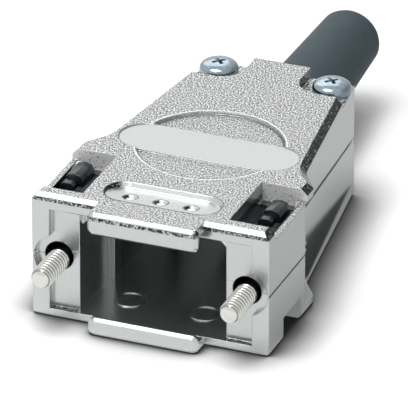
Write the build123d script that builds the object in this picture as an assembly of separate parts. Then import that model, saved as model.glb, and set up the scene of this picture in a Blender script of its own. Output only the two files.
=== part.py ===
from build123d import *
import os

# Metal hood for a nine-way D-sub connector: two die-cast half shells, captive
# jackscrews, and a rubber sleeve for the cable. All sizes in millimetres.
# Origin: on the underside, at the middle of the ears' front edge.
# X runs across the hood, Y runs back to the cable, Z is up.

# Jackscrews: distance between them, and their height above the underside
pitch = 25.0
screw_x = pitch / 2
screw_z = 7.9

# Heights, measured from the underside
roof = 17.0
floor_top = 1.15
seam_ear = 8.3
seam_inner = 9.2
seam_drop = 4.6
seam_front = roof - seam_drop
seam_rear = 8.1

# Plan of the ears and of the tapered body
ear_margin = 3.25
ear_half = screw_x + ear_margin
ear_back = 12.3
body_inset = 1.55
body_front_half = ear_half - body_inset
rear_half = 9.8
rear_y = 45.1
shoulder_y = 15.2
waist_y = 18.6
shoulder_round = 1.1
waist_round = 4.5
top_plate = 1.75
bottom_plate = 1.25
edge_chamfer = 0.5
side_chamfer = 0.85
base_chamfer = 0.4

# Tongues that hold the connector flange
tongue_half = 7.0
tongue_thick = 1.3
lip_half = 7.35
lip_front = -2.8
lip_thick = 0.85
lip_round = 0.9
lip_chamfer = 0.4
upper_lip_height = 3.1
upper_lip_bottom = roof - upper_lip_height
lower_lip_top = 2.35
lower_tongue_thick = 1.1

# Flange seat, connector space and screw holes in the ears
screw_hole_r = 1.9
screw_hole_z = 8.3
seat_margin = 1.0
seat_half = screw_x + seat_margin
seat_depth = 0.9
seat_drop = 2.05
seat_top = roof - seat_drop
seat_relief_r = 3.05
front_wall_y = 1.95
front_wall_width = 2.75
opening_half = screw_x - front_wall_width
lintel = 2.3
opening_top = roof - lintel
roof_wall = 2.5
cavity_top = roof - roof_wall
cavity_shoulder_y = 10.15
cavity_shoulder = 0.85
cavity_half_mid = opening_half - cavity_shoulder
cavity_corner = 1.8
cavity_half_rear = 7.3
cavity_taper_y = 28.0
cavity_rear_y = 35.6

# Dark key slot above the seam, beside each screw
key_reach = 1.8
key_x = screw_x + key_reach
key_width = 0.45
key_height = 0.95

# Ear windows and the chambers below them
window_reach = 2.8
window_in = screw_x - window_reach
window_back = 13.0
side_wall_drop = 1.6
side_wall_top = roof - side_wall_drop
side_wall = 0.75
side_wall_in = ear_half - side_wall
window_depth = 3.0
window_floor = roof - window_depth
ledge_depth = 2.5
window_ledge = roof - ledge_depth
window_ledge_y = 11.9
chamber_reach = 1.9
chamber_in = screw_x - chamber_reach
chamber_back = 11.0
chamber_floor = 3.9

# Slot below each ear and pocket behind it
foot_y = 4.95
foot_round = 1.0
slot_back = 11.0
slot_top = 3.05
slot_reach = 1.8
slot_in = screw_x - slot_reach
head_pocket_r = 2.9
head_pocket_back = 16.4

# Top face details
grip_y = 4.35
grip_length = 15.4
grip_width = 5.3
grip_depth = 0.65
dimple_r = 1.05
dimple_floor_r = 0.55
dimple_depth = 0.3
dimple_pitch = 4.05
dimple_y = 3.5
disc_y = 20.1
disc_r = 9.3
disc_depth = 0.4
band_y = 19.6
band_length = 23.8
band_width = 7.1
band_depth = 0.15

# Ring marks on the floor of the tray
ring_x = 5.0
ring_y = 5.7
ring_r = 2.0
ring_wall = 0.3
ring_height = 0.15

# Rear housing screws
rear_screw_x = 7.7
rear_screw_y = 42.4
notch_depth = 1.5
ledge_z = roof - notch_depth
notch_in = 3.8
notch_front = 38.4
notch_r = 3.2
head_r = 2.55
head_height = 1.65
head_round = 0.95
shank_r = 1.25
shank_length = 11.5
shell_hole_r = 1.4
thread_clearance = 0.03
recess_wing = 2.3
recess_width = 0.6
recess_depth = 1.0

# Bend sleeve and cable passage
sleeve_z = 8.35
sleeve_tilt = 2.8
sleeve_gap = 0.32
cable_r = 3.1
collar_r = 6.2
collar_front = 37.0
collar_back = 39.2
neck_r = 4.7
sleeve_root_r = 5.25
sleeve_end_r = 4.15
sleeve_length = 24.9
sleeve_end_round = 0.95
sleeve_clearance = 0.05
grip_rib_y = (31.0, 33.4)
grip_rib_thick = 0.9
grip_rib_r = 3.3

# Jackscrews and their clips
thread_r = 1.42
tip_y = -5.3
tip_chamfer = 0.35
thread_back = 0.75
jack_shank_r = 1.25
neck_front = 4.6
neck_back = 9.4
jack_neck_r = 1.1
jack_head_y = 13.2
jack_head_r = 2.4
jack_head_height = 2.2
slot_width = 0.8
slot_depth = 1.1
running_clearance = 0.05
end_clearance = 0.2
clip_gap = 0.15
clip_mouth = 1.7
clip_bottom = 5.2
clip_plate = 0.4
clip_floor = window_floor + clip_plate
clip_shelf = 2.0
clip_hump_drop = 0.9
clip_hump_top = roof - clip_hump_drop
clip_hump_y = (6.6, 10.8)
clip_hump_half = 1.2
clip_hump_out = {"left": 0.9, "right": 0.5}

# Seam line left open between the shells
seam_depth = 0.5
seam_gap_ear = 0.22
seam_gap_body = 0.4

sides = {"left": -1, "right": 1}
far = 40.0


def block(x0, x1, y0, y1, z0, z1):
    size = Box(x1 - x0, y1 - y0, z1 - z0)
    return Pos((x0 + x1) / 2, (y0 + y1) / 2, (z0 + z1) / 2) * size


def plan(points):
    """Closed outline on the XY plane."""
    return make_face(Polyline(*points, close=True).edges())


def mirrored_plan(points):
    """Outline from the points of its right half, listed front to back."""
    left = [(-x, y) for x, y in reversed(points)]
    return plan(points + left)


def prism(face, z0, z1):
    return Pos(0, 0, z0) * extrude(face, z1 - z0)


def along_y(radius, x, z, y0, y1):
    rod = Cylinder(radius, y1 - y0)
    return Pos(x, (y0 + y1) / 2, z) * Rot(90, 0, 0) * rod


def side_prism(points, half_width):
    """Solid from an outline of (y, z) points, as wide as X = +-half_width."""
    outline = make_face(Polyline(*points, close=True).edges())
    return extrude(Plane.YZ * outline, half_width, both=True)


def body_half(y):
    rate = (body_front_half - rear_half) / (rear_y - ear_back)
    return rear_half + rate * (rear_y - y)


def plate_plan():
    points = [
        (ear_half, 0),
        (ear_half, shoulder_y),
        (body_half(waist_y), waist_y),
        (rear_half, rear_y),
    ]
    face = mirrored_plan(points)
    corners = face.vertices()
    shoulders = corners.filter_by_position(Axis.Y, shoulder_y - 0.1, shoulder_y + 0.1)
    face = fillet(shoulders, shoulder_round)
    waists = face.vertices().filter_by_position(Axis.Y, waist_y - 0.1, waist_y + 0.1)
    return fillet(waists, waist_round)


def core_plan():
    points = [
        (ear_half, 0),
        (ear_half, ear_back),
        (body_front_half, ear_back),
        (rear_half, rear_y),
    ]
    return mirrored_plan(points)


def lip(z0, z1):
    height_of_lip = z1 - z0
    face = RectangleRounded(2 * lip_half, height_of_lip, lip_round)
    placed = Plane.XZ * Pos(0, (z0 + z1) / 2) * face
    solid = Pos(0, lip_front + lip_thick / 2, 0) * extrude(placed, lip_thick / 2, both=True)
    return chamfer(solid.edges().group_by(Axis.Y)[0], lip_chamfer)


def envelope():
    core = prism(core_plan(), 0, roof)
    plate = plate_plan()
    core += prism(plate, roof - top_plate, roof)
    core += prism(plate, 0, bottom_plate)
    rims = core.edges().filter_by_position(Axis.Z, roof - 0.01, roof + 0.01)
    body_sides = rims.filter_by(lambda edge: edge.center().Y > waist_y)
    body_sides = body_sides.filter_by(lambda edge: edge.center().Y < rear_y - 1)
    core = chamfer(body_sides, side_chamfer)
    front = core.edges().filter_by_position(Axis.Z, roof - 0.01, roof + 0.01)
    core = chamfer(front.group_by(Axis.Y)[0], edge_chamfer)
    rims = core.edges().filter_by_position(Axis.Z, -0.01, 0.01)
    core = chamfer(rims, base_chamfer)
    start = lip_front + lip_thick - 0.1
    upper = block(-tongue_half, tongue_half, start, 1.2, roof - tongue_thick, roof)
    upper += lip(upper_lip_bottom, roof)
    lower = block(-tongue_half, tongue_half, start, 1.2, 0, lower_tongue_thick)
    lower += lip(0, lower_lip_top)
    return core + upper + lower


def seat():
    recess = block(-seat_half, seat_half, -0.01, seat_depth, floor_top, seat_top)
    opening = block(-opening_half, opening_half, 0, front_wall_y, floor_top, opening_top)
    cut = recess + opening
    for side in sides.values():
        x = side * screw_x
        cut += along_y(seat_relief_r, x, screw_hole_z, -0.01, seat_depth)
        cut += along_y(screw_hole_r, x, screw_hole_z, 0.5, front_wall_y + 0.3)
        cut += along_y(screw_hole_r, x, screw_hole_z, chamber_back - 0.3, ear_back + 0.3)
    return cut


def cavity():
    points = [
        (opening_half, front_wall_y - 0.1),
        (opening_half, cavity_shoulder_y),
        (cavity_half_mid, cavity_shoulder_y),
        (cavity_half_mid, cavity_taper_y),
        (cavity_half_rear, cavity_rear_y),
    ]
    room = prism(mirrored_plan(points), floor_top, cavity_top)
    for side in sides.values():
        wedge = [
            (side * (opening_half - cavity_corner), cavity_top),
            (side * opening_half, cavity_top),
            (side * opening_half, cavity_top - cavity_corner),
        ]
        face = Plane.XZ * make_face(Polyline(*wedge, close=True).edges())
        strip = extrude(face, far / 2, both=True)
        room -= Pos(0, front_wall_y + far / 2, 0) * strip
    return room


def ear_hollows(side):
    def span(x0, x1, y0, y1, z0, z1):
        low = min(side * x0, side * x1)
        high = max(side * x0, side * x1)
        return block(low, high, y0, y1, z0, z1)

    outside = ear_half + 1
    cut = span(window_in, outside, front_wall_y, window_back, side_wall_top, roof + 1)
    cut += span(window_in, side_wall_in, front_wall_y, window_back, window_ledge, roof)
    cut += span(window_in, side_wall_in, front_wall_y, window_ledge_y, window_floor, roof)
    cut += span(chamber_in, side_wall_in, front_wall_y, chamber_back, chamber_floor, roof)
    cut += span(slot_in, outside, foot_y, slot_back, -1, slot_top)
    corner = span(slot_in, outside, foot_y - foot_round, foot_y, -1, foot_round)
    rod = Cylinder(foot_round, far)
    cut += corner - Pos(0, foot_y - foot_round, foot_round) * Rot(0, 90, 0) * rod
    x = side * screw_x
    cut += along_y(head_pocket_r, x, screw_z, ear_back, head_pocket_back)
    low = screw_z - head_pocket_r
    high = screw_z + head_pocket_r
    cut += span(screw_x, outside, ear_back, head_pocket_back, low, high)
    cut += span(key_x, key_x + key_width, -0.1, seat_depth, seam_ear, seam_ear + key_height)
    return cut


def top_details():
    slant = 40
    grip = Pos(0, grip_y, roof) * SlotOverall(grip_length, grip_width)
    pocket = extrude(grip, -grip_depth, taper=slant)
    ramp = [
        (grip_y - grip_width / 2, roof),
        (grip_y + grip_width / 2, roof - grip_depth),
        (grip_y + grip_width / 2, roof - 1),
        (grip_y - grip_width / 2, roof - 1),
    ]
    pocket -= side_prism(ramp, grip_length)
    cut = pocket
    for index in (-1, 0, 1):
        surface = roof - grip_depth * (dimple_y - grip_y + grip_width / 2) / grip_width
        dimple = Cone(dimple_floor_r, dimple_r, dimple_depth + 0.2)
        cut += Pos(index * dimple_pitch, dimple_y, surface + 0.1 - dimple_depth / 2) * dimple
    disc = Pos(0, disc_y, roof - disc_depth / 2) * Cylinder(disc_r, disc_depth)
    band_face = SlotOverall(band_length, band_width)
    band = extrude(Pos(0, band_y, roof - disc_depth) * band_face, disc_depth)
    cut += disc - band
    cut += Pos(0, 0, disc_depth - band_depth) * band
    return cut


def rear_cuts():
    cut = along_y(cable_r + 0.5, 0, sleeve_z, cavity_rear_y - 0.2, rear_y)
    cut += along_y(collar_r + sleeve_clearance, 0, sleeve_z, collar_front, collar_back)
    cut += along_y(neck_r + sleeve_clearance, 0, sleeve_z, collar_front, rear_y + 1)
    for side in sides.values():
        inner = side * notch_in
        outer = side * (ear_half + 1)
        low = min(inner, outer)
        high = max(inner, outer)
        corner = block(low, high, notch_front, rear_y + 4, ledge_z, roof + 1)
        inner_edge = corner.edges().filter_by(Axis.Z).group_by(Axis.Y)[0]
        inner_edge = inner_edge.sort_by(lambda edge: abs(edge.center().X))[0]
        cut += fillet(inner_edge, notch_r)
    return cut


def lower_region(offset_ear, offset_body):
    """Everything below the seam, the seam moved by the given offsets."""
    deep = -1
    wide = ear_half + 1
    ears = block(-wide, wide, lip_front - 1, ear_back, deep, seam_ear + offset_ear)
    inner = block(-screw_x, screw_x, lip_front - 1, ear_back, deep, seam_inner + offset_ear)
    points = [
        (ear_back, deep),
        (ear_back, seam_front + offset_body),
        (rear_y, seam_rear + offset_body),
        (rear_y + 1, seam_rear + offset_body),
        (rear_y + 1, deep),
    ]
    return ears + inner + side_prism(points, wide)


def seam_line():
    upper_side = lower_region(seam_gap_ear / 2, seam_gap_body / 2)
    lower_side = lower_region(-seam_gap_ear / 2, -seam_gap_body / 2)
    inset = prism(offset(core_plan(), -seam_depth), -2, roof + 2)
    return upper_side - lower_side - inset


def screw_holes(radius, z0, z1):
    holes = None
    for side in sides.values():
        x = side * rear_screw_x
        hole = Pos(x, rear_screw_y, (z0 + z1) / 2) * Cylinder(radius, z1 - z0)
        holes = hole if holes is None else holes + hole
    return holes


def grip_ribs():
    """Cast ribs that grip the cable, with a round notch through both halves."""
    ribs = None
    for y in grip_rib_y:
        half = cavity_half_mid + 0.5
        rib = block(-half, half, y, y + grip_rib_thick, floor_top - 0.3, cavity_top + 0.3)
        ribs = rib if ribs is None else ribs + rib
    return ribs - along_y(grip_rib_r, 0, sleeve_z, 25, 38)


def floor_rings():
    rings = None
    for side in sides.values():
        tube = Cylinder(ring_r, ring_height + 0.2) - Cylinder(ring_r - ring_wall, 1)
        placed = Pos(side * ring_x, ring_y, floor_top + ring_height / 2 - 0.1) * tube
        rings = placed if rings is None else rings + placed
    return rings


def housing():
    solid = envelope() - seat() - cavity()
    for side in sides.values():
        solid -= ear_hollows(side)
    solid += grip_ribs() & prism(offset(core_plan(), -1), 1, roof - 1)
    solid -= top_details()
    solid -= rear_cuts()
    solid -= seam_line()
    return solid


def shells():
    solid = housing()
    below = lower_region(0, 0)
    upper = solid - below - screw_holes(shell_hole_r, 0, roof)
    lower = (solid & below) + floor_rings()
    screw_bottom = ledge_z - shank_length - 0.3
    lower -= screw_holes(shank_r + thread_clearance, screw_bottom, roof)
    return upper, lower


def revolve_along_y(profile, x, z):
    """Turned part from (radius, y) points."""
    face = make_face(Polyline(*profile, close=True).edges())
    return Pos(x, 0, z) * revolve(face, Axis.Y)


def jackscrew(side):
    head_end = jack_head_y + jack_head_height
    profile = [
        (0, tip_y),
        (thread_r - tip_chamfer, tip_y),
        (thread_r, tip_y + tip_chamfer),
        (thread_r, thread_back),
        (jack_shank_r, thread_back),
        (jack_shank_r, neck_front),
        (jack_neck_r, neck_front),
        (jack_neck_r, neck_back),
        (thread_r, neck_back),
        (thread_r, jack_head_y),
        (jack_head_r, jack_head_y),
        (jack_head_r, head_end - 0.3),
        (jack_head_r - 0.3, head_end),
        (0, head_end),
    ]
    x = side * screw_x
    screw = revolve_along_y(profile, x, screw_z)
    low = screw_z - slot_width / 2
    screw -= block(x - 4, x + 4, head_end - slot_depth, head_end + 1, low, low + slot_width)
    return screw


def screw_clip(name):
    side = sides[name]

    def span(x0, x1, y0, y1, z0, z1):
        low = min(side * x0, side * x1)
        high = max(side * x0, side * x1)
        return block(low, high, y0, y1, z0, z1)

    x = side * screw_x
    inner = chamber_in + clip_gap
    outer = side_wall_in - clip_gap
    fork_front = neck_front + end_clearance
    fork_back = neck_back - end_clearance
    clip = span(inner, outer, fork_front, fork_back, clip_bottom, clip_floor)
    front = front_wall_y + clip_gap
    back = chamber_back - clip_gap
    clip += span(inner, outer, front, back, clip_floor - clip_shelf, clip_floor)
    ledge_back = window_ledge_y - clip_gap
    clip += span(window_in + clip_gap, outer, front, ledge_back, window_floor, clip_floor)
    clip -= along_y(jack_neck_r + running_clearance, x, screw_z, fork_front - 1, fork_back + 1)
    half = clip_mouth / 2
    clip -= block(x - half, x + half, fork_front - 1, fork_back + 1, clip_bottom - 1, screw_z)

    hump_top = clip_hump_top - clip_hump_half
    y0, y1 = clip_hump_y
    middle = side * (screw_x + clip_hump_out[name])
    half = clip_hump_half
    clip += block(middle - half, middle + half, y0, y1, clip_floor - 0.2, hump_top)
    clip += along_y(half, middle, hump_top, y0, y1)
    return clip


def housing_screw(side):
    x = side * rear_screw_x
    top = ledge_z + head_height
    head = Pos(x, rear_screw_y, ledge_z + head_height / 2) * Cylinder(head_r, head_height)
    head = chamfer(head.edges().group_by(Axis.Z)[-1], head_round, head_round * 0.55)
    shoulder = head.edges().filter_by(GeomType.CIRCLE).sort_by(Axis.Z)[1]
    head = chamfer(shoulder, 0.28)
    for angle in (0, 90):
        wing = Box(recess_wing, recess_width, 2 * recess_depth)
        head -= Pos(x, rear_screw_y, top) * Rot(0, 0, angle) * wing
    shank = Cylinder(shank_r, shank_length + 0.5)
    shank = chamfer(shank.edges().group_by(Axis.Z)[0], 0.3)
    middle = ledge_z + 0.5 - (shank_length + 0.5) / 2
    return head + Pos(x, rear_screw_y, middle) * shank


def bend_sleeve():
    """Collar and neck inside the hood, and the tapered tube that leaves it."""
    inner_end = rear_y + 0.6
    collar = [
        (cable_r, collar_front + sleeve_clearance),
        (collar_r, collar_front + sleeve_clearance),
        (collar_r, collar_back - sleeve_clearance),
        (neck_r, collar_back - sleeve_clearance),
        (neck_r, inner_end),
        (cable_r, inner_end),
    ]
    sleeve = revolve_along_y(collar, 0, 0)
    tube = [
        (0, sleeve_gap),
        (sleeve_root_r, sleeve_gap),
        (sleeve_end_r, sleeve_length),
        (0, sleeve_length),
    ]
    outer = revolve_along_y(tube, 0, 0)
    rim = outer.edges().filter_by(GeomType.CIRCLE).group_by(Axis.Y)[-1]
    outer = chamfer(rim, sleeve_end_round * 0.6)
    ring = outer.edges().filter_by(GeomType.CIRCLE).group_by(Axis.Y)[-2]
    outer = chamfer(ring, sleeve_end_round * 0.3)
    ring = outer.edges().filter_by(GeomType.CIRCLE).group_by(Axis.Y)[-1]
    outer = chamfer(ring, sleeve_end_round * 0.2)
    bore = along_y(cable_r, 0, 0, -0.8, sleeve_length + 1)
    leave = Pos(0, rear_y, 0) * Rot(sleeve_tilt, 0, 0)
    entry = along_y(cable_r, 0, 0, collar_front, rear_y + 1)
    sleeve = sleeve + leave * outer - leave * bore - entry
    return Pos(0, 0, sleeve_z) * sleeve


os.makedirs("parts", exist_ok=True)
upper_shell, lower_shell = shells()
export_step(upper_shell, "parts/upper_shell.step")
export_step(lower_shell, "parts/lower_shell.step")
for name, side in sides.items():
    export_step(jackscrew(side), f"parts/jackscrew_{name}.step")
    export_step(screw_clip(name), f"parts/screw_clip_{name}.step")
    export_step(housing_screw(side), f"parts/housing_screw_{name}.step")
export_step(bend_sleeve(), "parts/bend_sleeve.step")
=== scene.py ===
import math

import bmesh
import bpy
from mathutils import Matrix, Vector


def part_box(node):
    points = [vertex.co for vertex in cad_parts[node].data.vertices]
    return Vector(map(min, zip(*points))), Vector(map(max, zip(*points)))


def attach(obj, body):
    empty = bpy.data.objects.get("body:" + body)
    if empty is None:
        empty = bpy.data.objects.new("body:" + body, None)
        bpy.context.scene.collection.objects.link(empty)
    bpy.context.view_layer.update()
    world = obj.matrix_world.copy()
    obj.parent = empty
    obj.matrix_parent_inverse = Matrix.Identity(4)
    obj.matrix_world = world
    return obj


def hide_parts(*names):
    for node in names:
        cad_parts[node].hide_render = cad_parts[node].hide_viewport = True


bl_info = {
    "name": "Connector hood",
    "version": (1, 0, 0),
    "blender": (4, 5, 0),
    "location": "3D View > Sidebar > Hood",
    "description": "Dresses a metal connector hood and lights it as on a white table",
    "category": "Object",
}

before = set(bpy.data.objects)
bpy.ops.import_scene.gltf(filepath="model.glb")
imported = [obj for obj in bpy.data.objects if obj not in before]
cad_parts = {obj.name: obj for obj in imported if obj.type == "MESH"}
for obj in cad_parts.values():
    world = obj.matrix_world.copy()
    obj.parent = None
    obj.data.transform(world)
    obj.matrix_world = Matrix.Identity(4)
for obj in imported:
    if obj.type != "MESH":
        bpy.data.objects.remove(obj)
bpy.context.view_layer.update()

MM = 0.001
TO_MM = 1000.0
SIDES = ("left", "right")
BASE_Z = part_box("lower_shell")[0][2]
ROOF_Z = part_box("upper_shell")[1][2]

# Meshes: how near points are one point, and from what angle an edge is sharp
MERGE = 0.0005 * MM
CUT_TOLERANCE = 0.0001 * MM
SHARP_ANGLE = math.radians(38)

# Shells: what the plating follows, in millimetres. X is from the middle, Y from the mating
# plane and Z from the base. A slot is half its length and half its width.
ROOF = ROOF_Z * TO_MM
TOP_FLOOR = ROOF - 3.05
GRIP_Y = 4.35
GRIP_SLOT = (7.7, 2.65)
BAND_Y = 19.6
BAND_SLOT = (11.9, 3.55)
DISC_Y = 20.1
DISC_RADIUS = 9.3
DIMPLE_Y = 3.5
DIMPLE_PITCH = 4.05
DIMPLE_RIM = 0.98
DIMPLE_FLOOR = ROOF - 1.075
LIP_ROUNDING = (ROOF - 1.0, ROOF - 0.5)
LIP_BACK = 1.5
SILL_TOP = 3.0
SILL_BACK = 0.95
SILL_INNER = 9.8
NOTCH_Y = 38.0
NOTCH_OUTER = 9.0
NOTCH_FLOOR = ROOF - 1.375
EAR_BACK = 12.3
BODY_FRONT = EAR_BACK + 0.05
EAR_SEAM = 8.3
EAR_SEAM_HALF = 0.16
BODY_SEAM = 12.4
BODY_SEAM_FALL = 0.1311
BODY_SEAM_HALF = 0.25
SEAM_INNER = 11.0
CAVITY_HALF = 9.9
CAVITY_Y = (1.4, 36.0)
CAVITY_Z = (1.0, ROOF - 2.3)
# From where to where along Y the painted shade in the cavity deepens
CAVITY_DIMMING = (3.0, 22.0)
CHAMBER_HALF = 15.1
CHAMBER_Y = (1.6, 13.1)
CHAMBER_Z = (3.0, ROOF - 1.5)
WINDOW_WALL_Y = (12.0, 14.0)
WINDOW_WALL_LOW = ROOF - 2.55
WINDOW_WALL_INNER = 9.0

# Clips: the ridge and the nub in front of it, in millimetres. An outline is in X and Z.
CLIP_X = {"left": -13.4, "right": 13.0}
CLIP_PLATE_Z = 14.42
CLIP_RIDGE = (
    (-1.15, 14.2), (1.2, 14.2), (1.2, 15.2), (0.85, 15.85),
    (0.0, 16.08), (-1.0, 15.85), (-1.15, 15.6),
)
CLIP_RIDGE_Y = {"left": (8.0, 11.75), "right": (8.0, 11.1)}
CLIP_NUB = ((-1.45, 14.2), (0.5, 14.2), (0.5, 15.1), (0.1, 15.45), (-0.9, 15.45), (-1.45, 15.1))
CLIP_NUB_Y = (6.6, 8.1)
CLIP_BEVEL = 0.1 * MM

# Jackscrews
JACK_LOW, JACK_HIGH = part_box("jackscrew_right")
JACK_RADIUS = 1.42 * MM
JACK_SHANK = 1.25 * MM
JACK_CHAMFER = 0.35 * MM
JACK_THREAD_BACK = 0.75 * MM
JACK_NECK_GAP = 0.3 * MM
# Radii in millimetres: painted shade fills the thread's roots up to the first and fades out by the
# second
JACK_SHADED_ROOT = 1.1
JACK_UNSHADED_CREST = 1.36

# Rear screws. A level of the recess is its half length, half width and height from the top.
PAN_RADIUS = 2.53 * MM
PAN_CHAMFER = 0.12 * MM
PAN_SKIRT = 0.4 * MM
PAN_FULLNESS = 3.0
PAN_STEPS = 16
PAN_COLUMNS = 64
PAN_SHANK = 1.25 * MM
PAN_NECK = 0.8 * MM
PAN_THREAD_DROP = 2.0 * MM
PAN_THREAD_DEPTH = 0.25 * MM
PAN_THREAD_PITCH = 0.45 * MM
PAN_THREAD_CHAMFER = 0.3 * MM
LEDGE_DEPTH = 1.5 * MM
RECESS_TURNS = (math.radians(45), math.radians(135))
RECESS_LEVELS = ((0.35 * MM, 0.14 * MM, -1.0 * MM), (1.1 * MM, 0.26 * MM, 0.2 * MM))

# Threads: the grid that is rolled into a rod. Row 0 is the middle of the tip, the thread ends
# at ROD_THREAD_END, and the two rows from ROD_SHANK on are the plain shank.
ROD_ROWS = 150
ROD_THREAD_END = ROD_ROWS - 3
ROD_SHANK = ROD_ROWS - 2
ROD_COLUMNS = 48
SHANK_STUB = 0.4 * MM
THREAD_STEEPNESS = 1.4
THREAD_CREST = 0.2

# Table: the shade that the metal mirrors, in millimetres. An edge of the dark wedge is its
# distance from the right flank at Y 0, and how much that grows along Y.
TABLE_SIZE = 3000.0 * MM
TABLE_GAP = 0.01 * MM
FLANK_X = 15.85
FLANK_TAPER = 0.134
WEDGE_NEAR = (-0.0178, 0.019)
WEDGE_FAR = (8.3152, -0.152)
WEDGE_OUTER = 15.75
EAR_FADE = (12.0, 16.0)
AROUND_X = (15.0, 17.0)
AROUND_Y = (-8.0, 0.0)
AROUND_SHADE = 0.42
# Painted contact shadow on the table: how far the occlusion looks, and the openness over which the
# painted shadow fades
CONTACT_REACH = 7.0 * MM
CONTACT_OPENNESS = (0.5, 0.98)
PAPER = (0.9, 0.9, 0.9)
PAPER_SHADE = (0.04, 0.04, 0.04)
PAPER_GLOW_MIRRORED = 0.32
PAPER_GLOW_SEEN = 0.3

# Room: light on diffuse surfaces, and what mirrors see, with a grey curtain at the back right
ROOM_FILL = 0.2
ROOM_SEEN = 1.0
CURTAIN_X = 0.8
CURTAIN_Y = 0.6
CURTAIN_EDGE = (0.42, 0.8)
CURTAIN_DEPTH = 0.5
WHITE = (1.0, 1.0, 1.0, 1.0)

# Lamps: place, width and height in metres, and power. They point at LAMP_AIM.
LAMP_AIM = (0.0, 0.02, BASE_Z)
LAMPS = {
    "key_lamp": ((-0.1, -0.12, 0.55), (0.32, 0.32), 2.6),
    "back_lamp": ((-0.3, 0.5, 0.4), (0.4, 0.3), 0.5),
}

# Camera: the point it looks at, and its shift to the right and up
CAMERA_AIM = (0.0, 6.0 * MM, BASE_Z + 8.0 * MM)
CAMERA_RIGHT = 4.42 * MM
CAMERA_UP = 6.58 * MM
SENSOR_WIDTH = 36.0


# Shader expressions

class Flow:
    """A node socket that can be used in Python arithmetic."""

    def __init__(self, recipe, socket):
        self.recipe = recipe
        self.socket = socket

    def _math(self, operation, *values):
        return self.recipe.node("ShaderNodeMath", {"operation": operation}, *values)

    def __add__(self, other):
        return self._math("ADD", self, other)

    def __radd__(self, other):
        return self._math("ADD", other, self)

    def __sub__(self, other):
        return self._math("SUBTRACT", self, other)

    def __rsub__(self, other):
        return self._math("SUBTRACT", other, self)

    def __mul__(self, other):
        return self._math("MULTIPLY", self, other)

    def __rmul__(self, other):
        return self._math("MULTIPLY", other, self)

    def __truediv__(self, other):
        return self._math("DIVIDE", self, other)

    def __rtruediv__(self, other):
        return self._math("DIVIDE", other, self)

    def __gt__(self, other):
        return self._math("GREATER_THAN", self, other)

    def __lt__(self, other):
        return self._math("LESS_THAN", self, other)

    def larger(self, other):
        return self._math("MAXIMUM", self, other)

    def smaller(self, other):
        return self._math("MINIMUM", self, other)

    def within(self, low, high):
        """The value itself, held between two limits."""
        return self.larger(low).smaller(high)

    def size(self):
        return self._math("ABSOLUTE", self)

    def root(self):
        return self._math("SQRT", self)

    def sine(self):
        return self._math("SINE", self)

    def cosine(self):
        return self._math("COSINE", self)

    def fraction(self):
        return self._math("FRACT", self)

    def ramp(self, low, high):
        """0 below low and 1 above high, straight in between."""
        settings = {"clamp": True}
        return self.recipe.node("ShaderNodeMapRange", settings, self, low, high, 0.0, 1.0)

    def past(self, level, softness):
        """0 before a level and 1 past it, with a soft step as wide as softness."""
        return self.ramp(level - softness / 2, level + softness / 2)

    def between(self, limits):
        """1 between two limits."""
        low, high = limits
        return (self > low) * (self < high)

    def line(self, width, strength=1.3):
        """1 where the value is near 0, fading out with its distance from 0."""
        return (strength - self.size() / width).within(0.0, 1.0)


class Recipe:
    """A node tree that is built from socket expressions."""

    def __init__(self, tree):
        self.tree = tree

    def node(self, kind, settings, *values, output=0):
        """A new node: its settings first, then the values or links of its sockets in order."""
        item = self.tree.nodes.new(kind)
        for key, value in settings.items():
            setattr(item, key, value)
        for socket, value in zip(item.inputs, values):
            self.feed(socket, value)
        return Flow(self, item.outputs[output])

    def feed(self, socket, value):
        """Links a flow to a socket or sets the socket's value; None leaves it alone."""
        if isinstance(value, Flow):
            self.tree.links.new(value.socket, socket)
        elif value is not None:
            socket.default_value = value

    def split(self, vector):
        """A vector's three parts."""
        parts = self.tree.nodes.new("ShaderNodeSeparateXYZ")
        self.feed(parts.inputs[0], vector)
        return [Flow(self, socket) for socket in parts.outputs]

    def rays(self):
        """1 for camera, glossy and transmission rays, and then 1 for camera rays alone."""
        path = self.tree.nodes.new("ShaderNodeLightPath")
        names = ("Is Camera Ray", "Is Glossy Ray", "Is Transmission Ray")
        camera, glossy, through = [Flow(self, path.outputs[name]) for name in names]
        return camera.larger(glossy).larger(through), camera


class Shape(Recipe):
    """A geometry node tree with named inputs, turned into plain meshes."""

    def __init__(self, name, labels):
        super().__init__(bpy.data.node_groups.new(name, "GeometryNodeTree"))
        sockets = self.tree.interface
        self.keys = {}
        for label in labels:
            item = sockets.new_socket(label, in_out="INPUT", socket_type="NodeSocketFloat")
            self.keys[label] = item.identifier
        sockets.new_socket("Geometry", in_out="OUTPUT", socket_type="NodeSocketGeometry")
        self.entry = self.tree.nodes.new("NodeGroupInput")
        self.exit = self.tree.nodes.new("NodeGroupOutput")

    def given(self, label):
        return Flow(self, self.entry.outputs[label])

    def position(self):
        return self.split(self.node("GeometryNodeInputPosition", {}))

    def finish(self, geometry, material):
        whole = self.node("GeometryNodeRealizeInstances", {}, geometry)
        dressed = self.node("GeometryNodeSetMaterial", {}, whole, None, material)
        self.feed(self.exit.inputs[0], dressed)

    def mesh(self, name, sizes):
        """The tree's mesh for these sizes."""
        holder = link(name, bpy.data.meshes.new(name))
        modifier = holder.modifiers.new("shape", "NODES")
        modifier.node_group = self.tree
        for label, key in self.keys.items():
            modifier[key] = sizes[label]
        made = evaluated_mesh(holder)
        bpy.data.objects.remove(holder)
        if len(made.polygons) == 0:
            raise RuntimeError(f"{name} came out empty")
        return made


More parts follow.
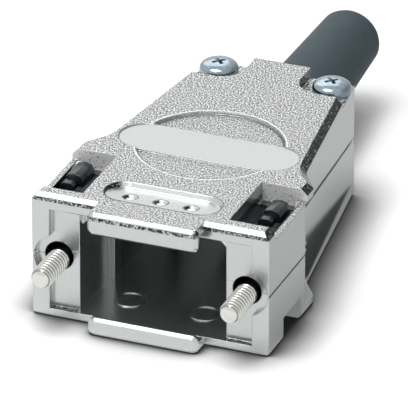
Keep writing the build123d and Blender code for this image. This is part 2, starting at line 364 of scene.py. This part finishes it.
class Finish(Recipe):
    """A material with one Principled shader."""

    def __init__(self, name):
        self.data = bpy.data.materials.new(name)
        self.data.use_nodes = True
        super().__init__(self.data.node_tree)
        self.tree.nodes.clear()
        self.output = self.tree.nodes.new("ShaderNodeOutputMaterial")
        self.shader = self.tree.nodes.new("ShaderNodeBsdfPrincipled")
        self.tree.links.new(self.shader.outputs[0], self.output.inputs["Surface"])
        self.place = self.node("ShaderNodeTexCoord", {}, output=3)

    def set(self, **values):
        """Feeds the shader's sockets; an underscore stands for a space in a name."""
        for key, value in values.items():
            self.feed(self.shader.inputs[key.replace("_", " ")], value)

    def axes(self):
        """Object coordinates in millimetres, one value for each axis."""
        return [part * TO_MM for part in self.split(self.place)]

    def facing(self):
        """The surface's own direction, one value for each axis."""
        return self.split(self.node("ShaderNodeNewGeometry", {}, output=1))

    def grain(self, size_mm, detail=2.0, roughness=0.5, stretch=(1.0, 1.0, 1.0)):
        """Noise from 0 to 1 with grains of about that size."""
        scale = tuple(TO_MM / size_mm * value for value in stretch)
        scaled = self.node("ShaderNodeVectorMath", {"operation": "MULTIPLY"}, self.place, scale)
        noise = self.tree.nodes.new("ShaderNodeTexNoise")
        self.feed(noise.inputs["Vector"], scaled)
        noise.inputs["Scale"].default_value = 1.0
        noise.inputs["Detail"].default_value = detail
        noise.inputs["Roughness"].default_value = roughness
        return Flow(self, noise.outputs["Fac"])

    def blend(self, amount, first, second):
        """The first colour where the amount is 0, the second where it is 1."""
        mix = self.tree.nodes.new("ShaderNodeMix")
        mix.data_type = "RGBA"
        self.feed(mix.inputs[0], amount)
        self.feed(mix.inputs[6], tint(first))
        self.feed(mix.inputs[7], tint(second))
        return Flow(self, mix.outputs[2])

    def relief(self, height, depth_mm, normal=None):
        """A bumped normal on top of the one given."""
        bump = self.tree.nodes.new("ShaderNodeBump")
        bump.inputs["Distance"].default_value = depth_mm * MM
        self.feed(bump.inputs["Height"], height)
        self.feed(bump.inputs["Normal"], normal)
        return Flow(self, bump.outputs[0])

    def soft_edges(self, radius_mm):
        """A normal that rounds the edges off."""
        bevel = self.tree.nodes.new("ShaderNodeBevel")
        bevel.samples = 6
        bevel.inputs["Radius"].default_value = radius_mm * MM
        return Flow(self, bevel.outputs[0])


def tint(value):
    """A colour as the shader wants it; a flow passes through."""
    if isinstance(value, Flow):
        return value
    return (*value[:3], 1.0)


def toned(colour, share):
    """A colour made darker or lighter by a share of itself."""
    return [min(1.0, value * share) for value in colour]


# Sizes and colours a user may change

class HoodShellSettings(bpy.types.PropertyGroup):
    nickel: bpy.props.FloatVectorProperty(
        name="Nickel", description="Colour of the plated shells", subtype="COLOR",
        size=3, min=0, max=1, default=(0.53, 0.555, 0.55))
    sand_size: bpy.props.FloatProperty(
        name="Sand size", description="Grain of the sanded top, in millimetres", default=0.2)
    sand_depth: bpy.props.FloatProperty(
        name="Sand depth", description="Height of the grain, in millimetres", default=0.12)


class HoodScrewSettings(bpy.types.PropertyGroup):
    thread_pitch: bpy.props.FloatProperty(
        name="Thread pitch", description="Distance between the jackscrews' turns",
        subtype="DISTANCE", default=0.635 * MM, precision=6)
    thread_depth: bpy.props.FloatProperty(
        name="Thread depth", description="Depth of the jackscrews' thread",
        subtype="DISTANCE", default=0.34 * MM, precision=6)
    thread_colour: bpy.props.FloatVectorProperty(
        name="Jackscrew metal", description="Colour of the jackscrews", subtype="COLOR",
        size=3, min=0, max=1, default=(0.7, 0.7, 0.66))
    zinc: bpy.props.FloatVectorProperty(
        name="Zinc", description="Colour of the rear screws", subtype="COLOR",
        size=3, min=0, max=1, default=(0.25, 0.31, 0.35))


class HoodSoftPartSettings(bpy.types.PropertyGroup):
    rubber: bpy.props.FloatVectorProperty(
        name="Rubber", description="Colour of the bend sleeve", subtype="COLOR",
        size=3, min=0, max=1, default=(0.038, 0.06, 0.073))
    plastic: bpy.props.FloatVectorProperty(
        name="Clip plastic", description="Colour of the screw clips", subtype="COLOR",
        size=3, min=0, max=1, default=(0.008, 0.011, 0.015))


class HoodStageSettings(bpy.types.PropertyGroup):
    camera_azimuth: bpy.props.FloatProperty(
        name="Camera azimuth", description="Turn of the camera to the right of the front",
        subtype="ANGLE", default=math.radians(21.76))
    camera_elevation: bpy.props.FloatProperty(
        name="Camera elevation", description="Camera's height above the horizon",
        subtype="ANGLE", default=math.radians(27.2))
    camera_distance: bpy.props.FloatProperty(
        name="Camera distance", description="From the camera to the aim point",
        subtype="DISTANCE", default=966.9 * MM)
    focal_length: bpy.props.FloatProperty(
        name="Focal length", description="Lens on a 36 mm sensor, in millimetres", default=688.0)


# Materials

def slot_distance(along, across, half_length, half_width):
    """Signed distance to a slot with round ends; negative inside."""
    over = (along.size() - (half_length - half_width)).larger(0.0)
    return (over * over + across * across).root() - half_width


def radius_at(first, second):
    """Distance from the origin of two axes."""
    return (first * first + second * second).root()


class ShellPlaces:
    """Masks over the shells, each 1 on the feature that it is named after."""

    def __init__(self, finish):
        self.x, self.y, self.z = finish.axes()
        self.nx, self.ny, self.nz = finish.facing()
        self.aside = self.x.size()
        self.upper = self.z.past(TOP_FLOOR, 0.3)
        self.top = self.nz.past(0.9, 0.1) * self.upper
        self.grip_edge = slot_distance(self.x, self.y - GRIP_Y, *GRIP_SLOT)
        self.off_band = slot_distance(self.x, self.y - BAND_Y, *BAND_SLOT).past(0.0, 0.1)
        self.disc_edge = radius_at(self.x, self.y - DISC_Y) - DISC_RADIUS

    def sanded(self):
        return self.top * self.grip_edge.past(0.025, 0.15) * self.off_band

    def label(self):
        return self.top * (1.0 - self.off_band)

    def painted_rim_shade(self):
        """Painted shade: the dark outlines of the round recess and the grip pocket."""
        disc = (self.disc_edge + 0.05).line(0.17) * self.off_band
        return disc.larger(self.grip_edge.line(0.16)) * self.top

    def disc_glint(self):
        """A painted highlight: the bright line outside the round recess."""
        return (self.disc_edge - 0.3).line(0.12, 1.1) * self.off_band * self.top

    # Painted shade: a dark ring along the rim of each dimple.
    def dimple_rim_shade(self):
        nearest = self.aside.smaller((self.aside - DIMPLE_PITCH).size())
        ring = (radius_at(nearest, self.y - DIMPLE_Y) - DIMPLE_RIM).line(0.12)
        return ring * (self.nz > 0.2) * self.z.past(DIMPLE_FLOOR, 0.05) * (self.grip_edge < 0.0)

    def dark_speckled_edges(self):
        """The front rounding of the roof, speckled dark as a painted dark reflection, and the
        sills of the connector seats, speckled darker.
        """
        low, high = LIP_ROUNDING
        rounding = self.z.past(low, 0.1) * (1.0 - self.z.past(high, 0.1))
        lip = rounding * (self.ny < -0.6) * (self.y < LIP_BACK)
        sill = (self.nz > 0.6) * (self.z < SILL_TOP) * (self.y < SILL_BACK)
        return lip.larger(sill * (self.aside > SILL_INNER))

    def shoulder_shade(self):
        """Painted shade: the right-hand slope of the roof, darkened as a painted dark reflection,
        and the walls of the screw notches.
        """
        slope = self.nx.past(0.425, 0.15) * self.nz.past(0.3, 0.2) * self.upper
        notch = (self.nx > 0.4) * (self.y > NOTCH_Y) * (self.aside < NOTCH_OUTER)
        return slope.larger(notch * self.z.past(NOTCH_FLOOR, 0.15))

    # Painted shade in the connector cavity: painted lighter near the front and darker deeper in.
    def cavity_shade(self):
        return (self.aside < CAVITY_HALF) * self.y.between(CAVITY_Y) * self.z.between(CAVITY_Z)

    # Painted shade in the hollows behind the front, out into the ears.
    def chamber_shade(self):
        inside = (self.aside < CHAMBER_HALF) * self.y.between(CHAMBER_Y)
        return inside * self.z.between(CHAMBER_Z)

    def window_walls_painted_lit(self):
        """Painted light: the rear walls of the windows in the ears, made white with dark speckle
        and matt, as if lit.
        """
        wall = (self.ny < -0.5) * (self.z > WINDOW_WALL_LOW) * self.y.between(WINDOW_WALL_Y)
        return wall * (self.aside > WINDOW_WALL_INNER)

    def flanks(self):
        """The sides of the body, behind the ears."""
        return (self.nx.size() > 0.5) * (self.y > BODY_FRONT)

    def seam(self):
        """The line between the shells, level on the ears and falling along the body."""
        fall = BODY_SEAM - BODY_SEAM_FALL * (self.y - EAR_BACK)
        from_ear = (self.z - EAR_SEAM).size().past(EAR_SEAM_HALF, 0.08)
        from_body = (self.z - fall).size().past(BODY_SEAM_HALF, 0.1)
        ear = (1.0 - from_ear) * (self.y < BODY_FRONT)
        body = (1.0 - from_body) * (self.y > BODY_FRONT)
        return ear.larger(body) * (self.nx.size() > 0.5) * (self.aside > SEAM_INNER)


def nickel_finish(settings):
    """Satin nickel, sanded on the top except in the grip pocket and on the label band."""
    finish = Finish("satin_nickel")
    places = ShellPlaces(finish)
    sand = finish.grain(settings.sand_size, detail=3.0, roughness=0.7)
    cast = finish.grain(0.5, detail=2.0)
    # Speckle for the painted dark reflections, the painted shade and the painted light on edges,
    # shoulders and window walls
    speckle = finish.grain(0.27, detail=3.0, roughness=0.7)
    pale = settings.nickel
    dark = toned(pale, 0.08)
    light = toned(pale, 1.85)
    sanded = places.sanded()
    window_walls_painted_lit = places.window_walls_painted_lit()
    cavity_depth = places.y.ramp(*CAVITY_DIMMING)
    # Coats from the bottom up. The glint and the window walls are painted light; the rims, dimple
    # rings, edge speckle, shoulders, chambers and cavity are painted shade or painted dark
    # reflections.
    coats = (
        (sanded, finish.blend(sand.ramp(0.46, 0.57), dark, light)),
        (places.label(), toned(pale, 0.62)),
        (places.disc_glint(), light),
        (places.painted_rim_shade(), toned(pale, 0.2)),
        (places.dimple_rim_shade() * 0.85, toned(pale, 0.15)),
        (places.dark_speckled_edges(), finish.blend(speckle.ramp(0.5, 0.57), toned(pale, 0.06), pale)),
        (places.shoulder_shade(), finish.blend(speckle.ramp(0.57, 0.63), toned(pale, 0.05), pale)),
        (window_walls_painted_lit, finish.blend(speckle.ramp(0.34, 0.42), dark, WHITE)),
        (places.chamber_shade() * (1.0 - window_walls_painted_lit), toned(pale, 0.25)),
        (places.cavity_shade(), finish.blend(cavity_depth, toned(pale, 1.1), toned(pale, 0.8))),
        (places.seam(), toned(pale, 0.04)),
    )
    colour = finish.blend(cast.ramp(0.3, 0.7), toned(pale, 0.97), pale)
    for mask, coat in coats:
        colour = finish.blend(mask, colour, coat)
    height = sanded * sand + 0.04 * cast
    finish.set(
        Base_Color=colour, Metallic=0.9 - 0.9 * window_walls_painted_lit,
        Roughness=0.24 + 0.14 * sanded - 0.13 * places.flanks(),
        Normal=finish.relief(height, settings.sand_depth, finish.soft_edges(0.2)),
    )
    return finish.data


def bright_screw_finish(settings):
    """Bright nickel with faint turning marks, and painted shade in the roots of the thread."""
    finish = Finish("bright_nickel")
    x, y, z = finish.axes()
    marks = finish.grain(0.12, detail=1.0, stretch=(0.3, 1.0, 0.3))
    across = x.size() - (JACK_LOW[0] + JACK_HIGH[0]) / 2 * TO_MM
    rise = z - (JACK_LOW[2] + JACK_HIGH[2]) / 2 * TO_MM
    unshaded_crest = radius_at(across, rise).ramp(JACK_SHADED_ROOT, JACK_UNSHADED_CREST)
    unshaded_crest = unshaded_crest.larger(1.0 - y.past(JACK_LOW[1] * TO_MM + 0.05, 0.06))
    pale = settings.thread_colour
    metal = finish.blend(marks, toned(pale, 0.85), pale)
    finish.set(
        Base_Color=finish.blend(unshaded_crest, toned(pale, 0.16), metal),
        Metallic=0.95, Roughness=0.14 + 0.08 * marks, Normal=finish.soft_edges(0.05),
    )
    return finish.data


def zinc_finish(settings):
    """Blue zinc plating with a cloudy sheen."""
    finish = Finish("blue_zinc")
    cloud = finish.grain(0.6, detail=3.0)
    paler = toned(settings.zinc, 1.25)
    finish.set(
        Base_Color=finish.blend(cloud.ramp(0.35, 0.65), settings.zinc, paler),
        Metallic=0.95, Roughness=0.12 + 0.1 * cloud,
        Normal=finish.relief(finish.grain(0.25), 0.01, finish.soft_edges(0.12)),
    )
    return finish.data


def plastic_finish(settings):
    """Dark moulded plastic with a fine grain."""
    finish = Finish("black_plastic")
    grain = finish.grain(0.25)
    paler = [value * 1.5 + 0.004 for value in settings.plastic]
    finish.set(
        Base_Color=finish.blend(grain, settings.plastic, paler),
        Roughness=0.2 + 0.1 * grain,
        Normal=finish.relief(grain, 0.005),
    )
    return finish.data


def rubber_finish(settings):
    """Slate rubber with a matt, slightly mottled skin."""
    finish = Finish("slate_rubber")
    fine = finish.grain(0.2, detail=3.0, roughness=0.7)
    broad = finish.grain(1.6)
    mottle = (0.65 * fine + 0.35 * broad).ramp(0.3, 0.7)
    finish.set(
        Base_Color=finish.blend(mottle, toned(settings.rubber, 0.75), toned(settings.rubber, 1.3)),
        Roughness=0.62 + 0.15 * fine,
        Normal=finish.relief(fine, 0.03),
    )
    return finish.data


# Objects and meshes

def link(name, data):
    """A new object in the scene."""
    made = bpy.data.objects.new(name, data)
    bpy.context.collection.objects.link(made)
    return made


def wear(obj, material):
    """Puts one material on an object."""
    obj.data.materials.clear()
    obj.data.materials.append(material)


def evaluated_mesh(obj):
    """A plain mesh of an object with its modifiers applied."""
    graph = bpy.context.evaluated_depsgraph_get()
    return bpy.data.meshes.new_from_object(obj.evaluated_get(graph))


def mesh_of(solid, name):
    """A mesh from a bmesh, which is freed."""
    mesh = bpy.data.meshes.new(name)
    solid.to_mesh(mesh)
    solid.free()
    return mesh


def closed_piece(solid, name, material):
    """A piece with smooth faces and sharp edges; the bmesh has to be closed, and is freed."""
    if any(not edge.is_manifold for edge in solid.edges):
        raise RuntimeError(f"{name} isn't closed")
    for face in solid.faces:
        face.smooth = True
        face.material_index = 0
    mesh = mesh_of(solid, name)
    mesh.set_sharp_from_angle(angle=SHARP_ANGLE)
    mesh.materials.append(material)
    return link(name, mesh)


def merged_copy(node):
    """A node's mesh with its loose triangles joined up."""
    copy = bmesh.new()
    copy.from_mesh(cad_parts[node].data)
    bmesh.ops.remove_doubles(copy, verts=copy.verts, dist=MERGE)
    return copy


def cut_at(solid, point, normal, **cleared):
    """Cuts a bmesh at a plane, clears one side and returns the edges at the cut."""
    cut = bmesh.ops.bisect_plane(
        solid, geom=[*solid.verts, *solid.edges, *solid.faces], dist=CUT_TOLERANCE,
        plane_co=point, plane_no=normal, **cleared)
    return [item for item in cut["geom_cut"] if isinstance(item, bmesh.types.BMEdge)]


def close_between(solid, low, high):
    """Faces over two rings of as many points, and around them."""
    solid.faces.new(reversed(low))
    solid.faces.new(high)
    for index in range(len(low)):
        after = (index + 1) % len(low)
        solid.faces.new((low[index], low[after], high[after], high[index]))


# Clips

def bar(outline, middle, ends):
    """A bevelled bar along Y, given in millimetres."""
    solid = bmesh.new()
    front, back = [
        [solid.verts.new(((middle + x) * MM, y * MM, z * MM)) for x, z in outline] for y in ends
    ]
    close_between(solid, back, front)
    bmesh.ops.recalc_face_normals(solid, faces=solid.faces)
    bmesh.ops.bevel(
        solid, geom=solid.edges[:], offset=CLIP_BEVEL, segments=2, affect="EDGES", profile=0.5,
        clamp_overlap=True)
    return mesh_of(solid, "clip_bar")


def moulded_clip(side, material):
    """The clip's fork from the CAD, with its ridge and nub as separate mouldings on top."""
    whole = merged_copy(f"screw_clip_{side}")
    plate = (0.0, 0.0, CLIP_PLATE_Z * MM)
    rim = cut_at(whole, plate, (0.0, 0.0, 1.0), clear_outer=True)
    bmesh.ops.holes_fill(whole, edges=rim)
    whole.from_mesh(bar(CLIP_RIDGE, CLIP_X[side], CLIP_RIDGE_Y[side]))
    whole.from_mesh(bar(CLIP_NUB, CLIP_X[side], CLIP_NUB_Y))
    return closed_piece(whole, f"moulded_clip_{side}", material)


# Screws

def thread_shape(material):
    """A right-handed thread along Y from its tip at 0, with an open plain shank behind it."""
    shape = Shape("threaded_rod", ("Radius", "Depth", "Pitch", "Length", "Chamfer", "Shank"))
    grid = shape.node("GeometryNodeMeshGrid", {}, 1.0, 1.0, ROD_ROWS, ROD_COLUMNS + 1)
    x, y, _ = shape.position()
    row = (x + 0.5) * float(ROD_ROWS - 1)
    around = y + 0.5
    length = shape.given("Length")
    pitch = shape.given("Pitch")
    radius = shape.given("Radius")
    along = ((row - 1.0) * (1.0 / (ROD_THREAD_END - 1))).within(0.0, 1.0) * length
    wave = ((along / pitch + around).fraction() * 2.0 - 1.0).size()
    groove = (wave * THREAD_STEEPNESS - THREAD_CREST).within(0.0, 1.0)
    runout = ((length - along) / pitch).smaller(1.0)
    cut = radius - shape.given("Depth") * groove * runout
    cone = radius - shape.given("Chamfer") + along
    behind = row > (ROD_SHANK - 0.5)
    across = cut.smaller(cone) * (1.0 - behind) + shape.given("Shank") * behind
    across = across * (row > 0.5)
    angle = around * (2 * math.pi)
    stub = (row > (ROD_SHANK + 0.5)) * SHANK_STUB
    point = shape.node(
        "ShaderNodeCombineXYZ", {}, across * angle.cosine(), along + stub, across * angle.sine())
    placed = shape.node("GeometryNodeSetPosition", {}, grid, None, point)
    closed = shape.node("GeometryNodeMergeByDistance", {}, placed, None, MERGE)
    shape.finish(closed, material)
    return shape


def join_ends(rod, rest, name, material):
    """One closed piece from two meshes that each end in one open ring."""
    both = bmesh.new()
    both.from_mesh(rod)
    both.from_mesh(rest)
    rings = [edge for edge in both.edges if edge.is_boundary]
    bmesh.ops.bridge_loops(both, edges=rings)
    bmesh.ops.recalc_face_normals(both, faces=both.faces)
    return closed_piece(both, name, material)


def back_of(node, plane_y, name):
    """A node's mesh behind a plane across Y, open at the plane."""
    copy = merged_copy(node)
    cut_at(copy, (0.0, plane_y, 0.0), (0.0, 1.0, 0.0), clear_inner=True)
    return mesh_of(copy, name)


def pan_head(centre, ledge, top):
    """A turned pan head on a short open shank, along Z."""
    skirt = ledge + PAN_SKIRT
    profile = [
        (PAN_SHANK, ledge - PAN_NECK),
        (PAN_SHANK, ledge),
        (PAN_RADIUS - PAN_CHAMFER, ledge),
        (PAN_RADIUS, ledge + PAN_CHAMFER),
    ]
    for step in range(PAN_STEPS):
        turn = step / PAN_STEPS * math.pi / 2
        out = PAN_RADIUS * math.cos(turn) ** (2 / PAN_FULLNESS)
        up = (top - skirt) * math.sin(turn) ** (2 / PAN_FULLNESS)
        profile.append((out, skirt + up))
    profile.append((0.0, top))
    turned = bmesh.new()
    points = [turned.verts.new((centre[0] + out, centre[1], up)) for out, up in profile]
    edges = [turned.edges.new(pair) for pair in zip(points, points[1:])]
    bmesh.ops.spin(
        turned, geom=points + edges, cent=(*centre, 0.0), axis=(0.0, 0.0, 1.0),
        angle=2 * math.pi, steps=PAN_COLUMNS, use_merge=False)
    bmesh.ops.remove_doubles(turned, verts=turned.verts, dist=MERGE)
    bmesh.ops.recalc_face_normals(turned, faces=turned.faces)
    return mesh_of(turned, "pan_head")


def recess_wing(centre, top, turn):
    """One wing of a cross recess, narrower and thinner at its foot."""
    solid = bmesh.new()
    rings = []
    for half_length, half_width, height in RECESS_LEVELS:
        corners = []
        for along, across in ((-1, -1), (1, -1), (1, 1), (-1, 1)):
            x = along * half_length * math.cos(turn) - across * half_width * math.sin(turn)
            y = along * half_length * math.sin(turn) + across * half_width * math.cos(turn)
            corners.append(solid.verts.new((centre[0] + x, centre[1] + y, top + height)))
        rings.append(corners)
    close_between(solid, *rings)
    return link("recess_wing", mesh_of(solid, "recess_wing"))


def recessed(head, centre, top):
    """The head's mesh with a cross recess sunk into its top."""
    holder = link("pan_head", head)
    wings = [recess_wing(centre, top, turn) for turn in RECESS_TURNS]
    for wing in wings:
        cut = holder.modifiers.new("recess", "BOOLEAN")
        cut.operation = "DIFFERENCE"
        cut.solver = "EXACT"
        cut.object = wing
    mesh = evaluated_mesh(holder)
    for item in (holder, *wings):
        bpy.data.objects.remove(item)
    return mesh


# Pieces

class HOOD_OT_shells(bpy.types.Operator):
    """Gives both shells their satin nickel plating"""
    bl_idname = "hood.shells"
    bl_label = "Plate the shells"

    def execute(self, context):
        nickel = nickel_finish(context.scene.hood_shells)
        for name in ("upper_shell", "lower_shell"):
            wear(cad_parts[name], nickel)
        return {"FINISHED"}


class HOOD_OT_soft_parts(bpy.types.Operator):
    """Gives the clips and the bend sleeve their plastic and rubber"""
    bl_idname = "hood.soft_parts"
    bl_label = "Finish the clips and the sleeve"

    def execute(self, context):
        settings = context.scene.hood_soft_parts
        plastic = plastic_finish(settings)
        for side in SIDES:
            clip = moulded_clip(side, plastic)
            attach(clip, "hood")
            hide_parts(f"screw_clip_{side}")
        wear(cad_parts["bend_sleeve"], rubber_finish(settings))
        return {"FINISHED"}


class HOOD_OT_jackscrews(bpy.types.Operator):
    """Cuts the threads of both jackscrews"""
    bl_idname = "hood.jackscrews"
    bl_label = "Cut the jackscrews"

    def execute(self, context):
        settings = context.scene.hood_screws
        metal = bright_screw_finish(settings)
        shape = thread_shape(metal)
        for side in SIDES:
            node = f"jackscrew_{side}"
            low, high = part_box(node)
            thread = shape.mesh(f"{node}_thread", {
                "Radius": JACK_RADIUS, "Depth": settings.thread_depth,
                "Pitch": settings.thread_pitch, "Length": JACK_THREAD_BACK - low[1],
                "Chamfer": JACK_CHAMFER, "Shank": JACK_SHANK,
            })
            tip = ((low[0] + high[0]) / 2, low[1], (low[2] + high[2]) / 2)
            thread.transform(Matrix.Translation(tip))
            neck_y = JACK_THREAD_BACK + SHANK_STUB + JACK_NECK_GAP
            rest = back_of(node, neck_y, f"{node}_back")
            screw = join_ends(thread, rest, f"threaded_jackscrew_{side}", metal)
            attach(screw, f"{side}_jackscrew")
            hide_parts(node)
        return {"FINISHED"}


class HOOD_OT_housing_screws(bpy.types.Operator):
    """Turns the rear screws with their pan heads and cross recesses"""
    bl_idname = "hood.housing_screws"
    bl_label = "Turn the rear screws"

    def execute(self, context):
        zinc = zinc_finish(context.scene.hood_screws)
        shape = thread_shape(zinc)
        ledge = ROOF_Z - LEDGE_DEPTH
        upright = Matrix.Rotation(math.pi / 2, 4, "X")
        for side in SIDES:
            node = f"housing_screw_{side}"
            low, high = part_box(node)
            centre = ((low[0] + high[0]) / 2, (low[1] + high[1]) / 2)
            head = recessed(pan_head(centre, ledge, high[2]), centre, high[2])
            thread = shape.mesh(f"{node}_thread", {
                "Radius": PAN_SHANK, "Depth": PAN_THREAD_DEPTH, "Pitch": PAN_THREAD_PITCH,
                "Length": ledge - PAN_THREAD_DROP - low[2],
                "Chamfer": PAN_THREAD_CHAMFER, "Shank": PAN_SHANK,
            })
            thread.transform(Matrix.Translation((*centre, low[2])) @ upright)
            screw = join_ends(thread, head, f"pan_screw_{side}", zinc)
            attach(screw, "hood")
            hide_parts(node)
        return {"FINISHED"}


# Stage

def mirrored_shade(x, y):
    """How dark the metal sees the table: a wedge beside the right flank, and grey around it."""
    from_flank = x - FLANK_X + FLANK_TAPER * y
    behind_ear = y.ramp(*EAR_FADE)
    near = (from_flank - WEDGE_NEAR[0] - WEDGE_NEAR[1] * y).past(0.0, 0.2)
    far = (WEDGE_FAR[0] + WEDGE_FAR[1] * y - from_flank).past(0.0, 0.4)
    wedge = near * far * behind_ear * (1.0 - x.past(WEDGE_OUTER, 0.3))
    around = x.ramp(*AROUND_X).larger(from_flank.past(-0.1, 0.4) * behind_ear)
    return wedge.larger(around * y.ramp(*AROUND_Y) * AROUND_SHADE)


def lay_floor():
    """A white table under the hood, with a painted contact shadow near it and painted shade that
    only reflections see.
    """
    place = (0, 0, BASE_Z - TABLE_GAP)
    bpy.ops.mesh.primitive_plane_add(size=TABLE_SIZE, location=place)
    floor = bpy.context.object
    floor.name = "table_top"
    paper = Finish("white_table")
    seen, camera = paper.rays()
    x, y, _ = paper.axes()
    openness = paper.node(
        "ShaderNodeAmbientOcclusion", {"samples": 12}, None, CONTACT_REACH, output=1)
    painted_contact_shadow = (1.0 - openness.ramp(*CONTACT_OPENNESS)) * camera
    shade = (mirrored_shade(x, y) * seen * (1.0 - camera)).larger(painted_contact_shadow)
    paper.set(Base_Color=paper.blend(shade, PAPER, PAPER_SHADE), Roughness=0.9)
    glow = PAPER_GLOW_MIRRORED * (seen - camera) + PAPER_GLOW_SEEN * camera
    light = paper.node("ShaderNodeEmission", {}, WHITE, glow * (1.0 - shade))
    both = paper.node("ShaderNodeAddShader", {}, Flow(paper, paper.shader.outputs[0]), light)
    paper.feed(paper.output.inputs["Surface"], both)
    wear(floor, paper.data)


def light_world():
    """A white room that mirrors see brighter than it lights."""
    world = bpy.data.worlds.new("white_room")
    bpy.context.scene.world = world
    world.use_nodes = True
    room = Recipe(world.node_tree)
    room.tree.nodes.clear()
    seen, camera = room.rays()
    x, y, _ = room.split(room.node("ShaderNodeTexCoord", {}, output=0))
    curtain = (x * CURTAIN_X + y * CURTAIN_Y).ramp(*CURTAIN_EDGE) * (1.0 - camera)
    bright = ROOM_FILL * (1.0 - seen) + ROOM_SEEN * seen
    strength = bright * (1.0 - CURTAIN_DEPTH * curtain * seen)
    output = room.tree.nodes.new("ShaderNodeOutputWorld")
    room.feed(output.inputs["Surface"], room.node("ShaderNodeBackground", {}, WHITE, strength))


def hang_lamp(name, place, size, power):
    """A soft rectangular lamp that points at the hood."""
    lamp = bpy.data.lights.new(name, "AREA")
    lamp.shape = "RECTANGLE"
    lamp.size, lamp.size_y = size
    lamp.energy = power
    obj = link(name, lamp)
    back = Vector(place) - Vector(LAMP_AIM)
    turn = back.to_track_quat("Z", "Y").to_matrix().to_4x4()
    obj.matrix_world = Matrix.Translation(place) @ turn


def set_camera(settings):
    """The camera, as it was fitted to the photograph."""
    azimuth = settings.camera_azimuth
    elevation = settings.camera_elevation
    right = Vector((math.cos(azimuth), math.sin(azimuth), 0.0))
    back = Vector((
        math.sin(azimuth) * math.cos(elevation),
        -math.cos(azimuth) * math.cos(elevation),
        math.sin(elevation),
    ))
    up = back.cross(right)
    aim = Vector(CAMERA_AIM) + right * CAMERA_RIGHT + up * CAMERA_UP
    data = bpy.data.cameras.new("product_camera")
    data.lens = settings.focal_length
    data.sensor_width = SENSOR_WIDTH
    data.clip_start = 10.0 * MM
    camera = link("product_camera", data)
    turn = Matrix((right, up, back)).transposed().to_4x4()
    camera.matrix_world = Matrix.Translation(aim + back * settings.camera_distance) @ turn
    bpy.context.scene.camera = camera


class HOOD_OT_stage(bpy.types.Operator):
    """Lays the table, hangs the lamps and sets the camera"""
    bl_idname = "hood.stage"
    bl_label = "Set the stage"

    def execute(self, context):
        lay_floor()
        light_world()
        for name, (place, size, power) in LAMPS.items():
            hang_lamp(name, place, size, power)
        set_camera(context.scene.hood_stage)
        context.scene.view_settings.view_transform = "Standard"
        return {"FINISHED"}


class HOOD_PT_panel(bpy.types.Panel):
    """Lists the steps that dress the hood"""
    bl_idname = "HOOD_PT_panel"
    bl_label = "Connector hood"
    bl_space_type = "VIEW_3D"
    bl_region_type = "UI"
    bl_category = "Hood"

    def draw(self, context):
        for operator in OPERATORS:
            self.layout.operator(operator.bl_idname)
        for name in SETTINGS:
            group = getattr(context.scene, name)
            for key in group.__annotations__:
                self.layout.prop(group, key)


SETTINGS = {
    "hood_shells": HoodShellSettings,
    "hood_screws": HoodScrewSettings,
    "hood_soft_parts": HoodSoftPartSettings,
    "hood_stage": HoodStageSettings,
}
OPERATORS = (
    HOOD_OT_shells,
    HOOD_OT_soft_parts,
    HOOD_OT_jackscrews,
    HOOD_OT_housing_screws,
    HOOD_OT_stage,
)


def register():
    for name, group in SETTINGS.items():
        bpy.utils.register_class(group)
        setattr(bpy.types.Scene, name, bpy.props.PointerProperty(type=group))
    for operator in OPERATORS:
        bpy.utils.register_class(operator)
    bpy.utils.register_class(HOOD_PT_panel)


def unregister():
    bpy.utils.unregister_class(HOOD_PT_panel)
    for operator in reversed(OPERATORS):
        bpy.utils.unregister_class(operator)
    for name, group in reversed(SETTINGS.items()):
        delattr(bpy.types.Scene, name)
        bpy.utils.unregister_class(group)


def main():
    register()
    bpy.ops.hood.shells()
    bpy.ops.hood.soft_parts()
    bpy.ops.hood.jackscrews()
    bpy.ops.hood.housing_screws()
    bpy.ops.hood.stage()


if __name__ == "__main__":
    main()
